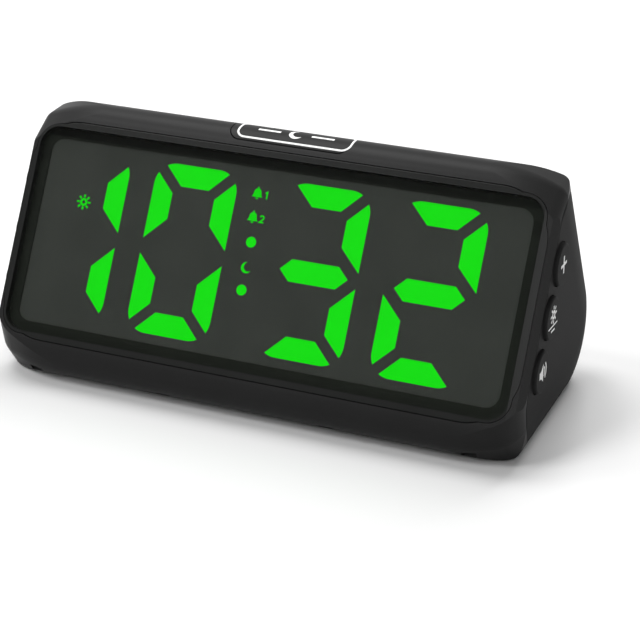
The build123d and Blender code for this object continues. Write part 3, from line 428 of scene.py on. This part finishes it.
def rubbery(name, colour):
    """Matt rubber with fine pores."""
    material, tree, shader = new_material(name)
    pores = noise(tree, coordinates(tree), scale=1400, detail=5, rough=0.7)
    tint(tree, shader, pores, colour, stops=(0.3, 0.75), shades=(0.8, 1.3))
    roughen(tree, shader, pores, low=0.75, high=0.92)
    bump(tree, shader, pores, strength=0.4, distance=0.0001)
    shader.inputs["Specular IOR Level"].default_value = 0.2
    return material


def striped_film(name, pale, dark):
    """Ribbon cable: conductors side by side under a pale film."""
    material, tree, shader = new_material(name)
    place = coordinates(tree)
    lines = tree.nodes.new("ShaderNodeTexWave")
    lines.bands_direction = "X"
    lines.inputs["Scale"].default_value = 250
    tree.links.new(place, lines.inputs["Vector"])
    tone = ramp(tree, lines.outputs["Fac"], ((0.25, dark), (0.6, pale)))
    tree.links.new(tone, shader.inputs["Base Color"])
    roughen(tree, shader, noise(tree, place, scale=200), low=0.4, high=0.55)
    bump(tree, shader, lines.outputs["Fac"], strength=0.3, distance=0.0001)
    return material


def pressed_pulp(name, colour):
    """The speaker's cone: dark fibres pressed together."""
    material, tree, shader = new_material(name)
    fibres = noise(tree, coordinates(tree, stretch=(1, 3, 1)), scale=700, detail=6, rough=0.75)
    tint(tree, shader, fibres, colour, stops=(0.3, 0.7), shades=(0.6, 1.5))
    shader.inputs["Roughness"].default_value = 0.9
    bump(tree, shader, fibres, strength=0.5, distance=0.0002)
    return material


def cell_sleeve(name, dark, pale, dark_end=0.7, pale_start=0.72):
    """A plain cell sleeve: dark, with a paler band at one end."""
    material, tree, shader = new_material(name)
    place = coordinates(tree)
    split = tree.nodes.new("ShaderNodeSeparateXYZ")
    tree.links.new(place, split.inputs["Vector"])
    along = tree.nodes.new("ShaderNodeMapRange")
    low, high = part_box("backup_cells")
    along.inputs["From Min"].default_value = low[0]
    along.inputs["From Max"].default_value = high[0]
    tree.links.new(split.outputs["X"], along.inputs["Value"])
    tone = ramp(tree, along.outputs["Result"], ((0.0, dark), (dark_end, dark), (pale_start, pale)))
    tree.links.new(tone, shader.inputs["Base Color"])
    roughen(tree, shader, noise(tree, place, scale=300), low=0.25, high=0.35)
    return material


def printed(name, colour):
    """Pad-printed ink, a little uneven at its surface."""
    material, tree, shader = new_material(name)
    cloud = noise(tree, coordinates(tree), scale=2500, detail=3)
    tint(tree, shader, cloud, colour, stops=(0.25, 0.6), shades=(0.93, 1.0))
    roughen(tree, shader, cloud, low=0.5, high=0.62)
    return material


# The materials, and which node has which
green = (0.002, 0.7, 0.001)
unlit_green = (0.003, 0.04, 0.003)
display_grey = (0.05, 0.0555, 0.0488)
digit_strength = 1.0
sign_strength = 0.9
surface_clear = 0.88
window_clear = surface_clear**2
case_black = moulded("case_black", grey(0.009), rough=0.42, specular=0.13)
panel_black = moulded("panel_black", grey(0.018), rough=0.6, specular=0.03)
bezel_tone = (0.01, 0.0105, 0.01)
bezel_black = moulded("bezel_black", bezel_tone, rough=0.3, grain=3200, depth=0.00001, specular=0.1)
button_black = moulded("button_black", grey(0.018), rough=0.6, grain=3000, depth=0.00003, specular=0.03)
snooze_black = moulded("snooze_black", grey(0.009), rough=0.42, specular=0.13)
housing_grey = moulded("housing_grey", display_grey, rough=0.7, depth=0.00001, specular=0.05)
unlit_grey = moulded("unlit_grey", display_grey, rough=0.7, depth=0.00001, specular=0.05)
lens_black = glossy_black("lens_black", (0.014, 0.0165, 0.013))
lens_smoke = smoked("lens_smoke", (0.02, 0.022, 0.019), alpha=1 - surface_clear)
digit_light = glowing("digit_light", green, digit_strength / window_clear, unlit_green)
sign_light = glowing("sign_light", green, sign_strength / window_clear, unlit_green)
ink = printed("white_ink", (0.92, 0.92, 0.91))

node_materials = {
    "front_case": case_black,
    "rear_shell": case_black,
    "battery_door": moulded("door_black", grey(0.024), rough=0.45, grain=2000),
    "right_end_panel": panel_black,
    "left_end_panel": panel_black,
    "front_bezel": bezel_black,
    "segment_housing": housing_grey,
    "dark_segments": unlit_grey,
    "lit_segments": digit_light,
    "colon_dots": digit_light,
    "snooze_key": snooze_black,
    "power_jack": moulded("jack_black", (0.02, 0.02, 0.021), rough=0.5),
    "clock_chip": moulded("chip_black", (0.018, 0.018, 0.02), rough=0.55, grain=1800),
    "display_driver": moulded("driver_black", grey(0.02), rough=0.55, grain=1800),
    "segment_leds": moulded("led_cream", (0.7, 0.66, 0.42), rough=0.35, grain=2500),
    "filter_capacitor": moulded("capacitor_blue", (0.015, 0.03, 0.09), rough=0.3, grain=900),
    "timing_crystal": metal("crystal_can", (0.72, 0.72, 0.73), rough=0.3, stretch=(0.2, 1, 1)),
    "jack_pin": metal("pin_nickel", (0.75, 0.73, 0.68), rough=0.25),
    "battery_contacts": metal("contact_nickel", (0.72, 0.71, 0.68), rough=0.28),
    "speaker_frame": metal("basket_black", (0.06, 0.06, 0.065), rough=0.45),
    "speaker_magnet": metal("ferrite", (0.1, 0.1, 0.11), rough=0.6, scale=1500),
    "speaker_cone": pressed_pulp("cone_pulp", grey(0.03)),
    "backup_cells": cell_sleeve("cell_sleeve", dark=(0.05, 0.055, 0.06), pale=(0.35, 0.33, 0.3)),
    "rubber_feet": rubbery("foot_rubber", grey(0.02)),
}
board_green = laminate("board_green")
screw_zinc = metal("screw_zinc", (0.58, 0.58, 0.6), rough=0.34)
switch_black = moulded("switch_black", (0.02, 0.02, 0.022), rough=0.5)
plunger_white = moulded("plunger_white", (0.6, 0.6, 0.57), rough=0.4)
ribbon_film = striped_film("ribbon_film", pale=(0.62, 0.62, 0.58), dark=(0.25, 0.25, 0.24))
ending_materials = {
    "_board": board_green,
    "_screws": screw_zinc,
    "_button": button_black,
    "_plunger": plunger_white,
    "_switches": switch_black,
    "_switch": switch_black,
    "_ribbon": ribbon_film,
}
for name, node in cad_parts.items():
    material = node_materials.get(name, case_black)
    for ending, shared_material in ending_materials.items():
        if name.endswith(ending):
            material = shared_material
    node.data.materials.clear()
    node.data.materials.append(material)

# Lens: a smoked plate with a black border printed on its back
print_thickness = 0.1
plate_thickness = lens_thickness - print_thickness
print_start = lens_recess + plate_thickness
window_outline = rounded_rect(window_width, window_height, window_corner)
border_outline = rounded_rect(lens_width, lens_height, lens_corner)


def lens_piece(name, loops, start, thickness, material):
    """A layer of the lens, from a depth under the face."""
    place = on_face(start + thickness / 2)
    piece = filled(name, loops, thickness, place, material, "clock_body")
    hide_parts("display_lens")


lens_piece("lens_plate", [border_outline], lens_recess, plate_thickness, lens_smoke)
lens_piece("lens_border", [border_outline, window_outline], print_start, print_thickness, lens_black)

# Small lit signs between and beside the digits, on the display block
sign_thickness = 0.1
sign_column = -6.3
numeral_column = -3.65
bell_size = 3.1
numeral_size = 1.95
numeral_stroke = 0.36
numeral_drop = 0.2
first_alarm_height = 19.0
second_alarm_height = 12.5
night_place = (-5.3, -1.1)
night_radius = 1.5
day_place = (-57.0, 9.2)
day_radius = 2.1
sign_place = on_face(block_depth - sign_thickness / 2)


def lit_sign(name, loops):
    """A lit sign on the front of the display block."""
    filled(name, loops, sign_thickness, sign_place, sign_light, "clock_body")


def alarm_sign(name, height, numeral):
    """A bell with its number beside it."""
    number = numeral(numeral_column, height - numeral_drop, numeral_size, numeral_stroke)
    lit_sign(name, bell(sign_column, height, bell_size) + number)


alarm_sign("alarm_one_sign", first_alarm_height, numeral_one)
alarm_sign("alarm_two_sign", second_alarm_height, numeral_two)
lit_sign("night_sign", [crescent(*night_place, night_radius)])
lit_sign("day_sign", sun(*day_place, day_radius))

# Snooze key: a white outline with a moon between two bars
ink_thickness = 0.06
outline_length = 33.2
outline_depth = 7.9
outline_corner = 2.6
outline_stroke = 0.55
outline_x = 1.1
outline_y = -0.95
moon_radius = 2.0
bar_start = 4.5
bar_end = 11.0
bar_stroke = 0.75


def ridge_print(name, loops):
    """White ink wrapped over the snooze key."""
    loops = [dense(loop) for loop in loops]
    filled(name, loops, ink_thickness, on_ridge, ink, "snooze_body")


def outline_loop(inset):
    """The outline's edge, moved in by an inset."""
    length = outline_length - 2 * inset
    depth = outline_depth - 2 * inset
    return rounded_rect(length, depth, outline_corner - inset, outline_x, outline_y)


def side_bar(sign):
    """A bar to the left or right of the moon."""
    start = outline_x + sign * bar_start
    end = outline_x + sign * bar_end
    return bar(start, outline_y, end, outline_y, bar_stroke)


ridge_print("snooze_outline", [outline_loop(0), outline_loop(outline_stroke)])
ridge_print("snooze_moon", [crescent(outline_x, outline_y, moon_radius)])
ridge_print("snooze_bars", [side_bar(-1), side_bar(1)])

# Button signs
plus_size = 4.8
plus_stroke = 0.8
alarm_bell_size = 5.2


def button_print(name, loops):
    """White ink on the top of a button, which it moves with."""
    place = on_button(name + "_button")
    filled(name + "_sign", loops, ink_thickness, place, ink, name + "_button_body")


def plus_shape():
    """A plus: one of its inner corners, turned four times."""
    reach = plus_size / 2
    half = plus_stroke / 2
    corner = [(half, reach), (half, half), (reach, half)]
    loop = []
    for _ in range(4):
        loop += corner
        corner = [(y, -x) for x, y in corner]
    return [loop]


def minus_shape():
    """The level bar of the plus."""
    reach = plus_size / 2
    return [bar(-reach, 0, reach, 0, plus_stroke)]


def speaker_shape():
    """A loudspeaker with two waves."""
    back_x, neck_x, mouth_x = -2.9, -1.7, 0.1
    neck_half, mouth_half = 1.0, 2.5
    wave_x, wave_turn, wave_stroke = -0.6, 42, 0.5
    wave_radii = (2.0, 3.2)
    lower = [(back_x, -neck_half), (neck_x, -neck_half), (mouth_x, -mouth_half)]
    upper = [(mouth_x, mouth_half), (neck_x, neck_half), (back_x, neck_half)]
    waves = [arc(wave_x, 0, radius, -wave_turn, wave_turn) for radius in wave_radii]
    return [lower + upper] + [stroke(wave, wave_stroke) for wave in waves]


def clock_shape():
    """A dial with two hands."""
    dial_radius, dial_stroke, hand_stroke = 2.7, 0.5, 0.5
    long_hand, short_hand = (0, 1.5), (1.1, -0.6)
    ring = [circle(0, 0, dial_radius), circle(0, 0, dial_radius - dial_stroke)]
    return ring + [stroke([long_hand, (0, 0), short_hand], hand_stroke)]


def dimmer_shape():
    """A sun over two lines."""
    sun_y, sun_radius = 1.1, 2.5
    long_start, long_end, long_stroke = (-4.0, -1.75), (3.6, -2.15), 0.42
    short_start, short_end, short_stroke = (-1.6, -3.2), (1.4, -3.4), 0.5
    lines = [bar(*long_start, *long_end, long_stroke), bar(*short_start, *short_end, short_stroke)]
    return sun(0, sun_y, sun_radius) + lines


button_print("plus", plus_shape())
button_print("brightness", dimmer_shape())
button_print("volume", speaker_shape())
button_print("minus", minus_shape())
button_print("set", clock_shape())
button_print("alarm", bell(0, 0, alarm_bell_size))

# Floor and light: lengths in metres, lamp powers in watts
floor_half = 4
floor_grey = 0.78
glow_start, glow_end = 0.35, 1.2
glow_near, glow_far = 0.02, 0.9
sky_light, sky_seen = 0.1, 1.0


def seen_rays(tree):
    """One for rays from the camera, off gloss or through glass, and nothing for other light."""
    path = tree.nodes.new("ShaderNodeLightPath")
    result = path.outputs["Is Camera Ray"]
    for kind in ("Is Glossy Ray", "Is Transmission Ray"):
        either = tree.nodes.new("ShaderNodeMath")
        either.operation = "MAXIMUM"
        tree.links.new(result, either.inputs[0])
        tree.links.new(path.outputs[kind], either.inputs[1])
        result = either.outputs[0]
    return result


def floor_glow(tree):
    """Nothing much near the object, and the white of the backdrop far from it."""
    place = tree.nodes.new("ShaderNodeNewGeometry")
    distance = tree.nodes.new("ShaderNodeVectorMath")
    distance.operation = "LENGTH"
    tree.links.new(place.outputs["Position"], distance.inputs[0])
    level = tree.nodes.new("ShaderNodeMapRange")
    level.inputs["From Min"].default_value = glow_start
    level.inputs["From Max"].default_value = glow_end
    level.inputs["To Min"].default_value = glow_near
    level.inputs["To Max"].default_value = glow_far
    tree.links.new(distance.outputs["Value"], level.inputs["Value"])
    glow = tree.nodes.new("ShaderNodeEmission")
    tree.links.new(level.outputs["Result"], glow.inputs["Strength"])
    return glow.outputs["Emission"]


def floor_material():
    """A pale floor that keeps the soft shadow and runs out into white."""
    material, tree, shader = new_material("pale_floor")
    tree.nodes.remove(shader)
    output = tree.nodes["Material Output"]
    matt = tree.nodes.new("ShaderNodeBsdfDiffuse")
    matt.inputs["Color"].default_value = (*grey(floor_grey), 1)
    black = tree.nodes.new("ShaderNodeEmission")
    black.inputs["Strength"].default_value = 0.0
    choose = tree.nodes.new("ShaderNodeMixShader")
    tree.links.new(seen_rays(tree), choose.inputs["Fac"])
    tree.links.new(black.outputs["Emission"], choose.inputs[1])
    tree.links.new(floor_glow(tree), choose.inputs[2])
    add = tree.nodes.new("ShaderNodeAddShader")
    tree.links.new(matt.outputs["BSDF"], add.inputs[0])
    tree.links.new(choose.outputs["Shader"], add.inputs[1])
    tree.links.new(add.outputs["Shader"], output.inputs["Surface"])
    return material


floor_corners = [(x * floor_half, y * floor_half, 0) for x, y in ((-1, -1), (1, -1), (1, 1), (-1, 1))]
floor_mesh = bpy.data.meshes.new("floor")
floor_mesh.from_pydata(floor_corners, [], [(0, 1, 2, 3)])
floor_mesh.materials.append(floor_material())
floor = bpy.data.objects.new("floor", floor_mesh)
bpy.context.collection.objects.link(floor)

world = bpy.data.worlds.new("studio")
bpy.context.scene.world = world
world.use_nodes = True
sky = world.node_tree.nodes["Background"]
sky.inputs["Color"].default_value = (1, 1, 1, 1)
sky_level = spread(world.node_tree, seen_rays(world.node_tree), sky_light, sky_seen)
world.node_tree.links.new(sky_level, sky.inputs["Strength"])


def softbox(name, place, target, size, power):
    """A square lamp turned to its target."""
    light = bpy.data.lights.new(name, "AREA")
    light.shape = "SQUARE"
    light.size = size
    light.energy = power
    lamp = bpy.data.objects.new(name, light)
    lamp.location = place
    lamp.rotation_euler = (Vector(target) - Vector(place)).to_track_quat("-Z", "Y").to_euler()
    bpy.context.collection.objects.link(lamp)
    return lamp


softbox("top_softbox", place=(-0.32, 0.14, 0.95), target=(-0.05, 0.05, 0.03), size=0.55, power=5.6)
softbox("front_softbox", place=(-0.46, -0.54, 0.86), target=(0, 0, 0.05), size=0.36, power=4.8)
softbox("strip_light", place=(0.36, -0.8, 0.6), target=(0.074, -0.018, 0.034), size=0.24, power=2.0)
back_lamp = softbox("back_softbox", place=(0.05, 0.62, 0.8), target=(0, -0.04, 0), size=0.45, power=6.8)
back_lamp.visible_glossy = False

# Camera, fitted to the photograph: its offset from the middle of the face is in millimetres
camera_offset = Vector((199.5, -430.5, 206.2))
camera_pitch = 25.094
camera_turn = 23.015
camera_data = bpy.data.cameras.new("camera")
camera_data.sensor_width = 36.0
camera_data.lens = 109.9
camera = bpy.data.objects.new("camera", camera_data)
camera.location = (face_middle + camera_offset) * MM
camera.rotation_euler = (radians(90 - camera_pitch), 0, radians(camera_turn))
bpy.context.collection.objects.link(camera)
bpy.context.scene.camera = camera

view = bpy.context.scene.view_settings
view.view_transform = "Standard"

bpy.context.view_layer.update()
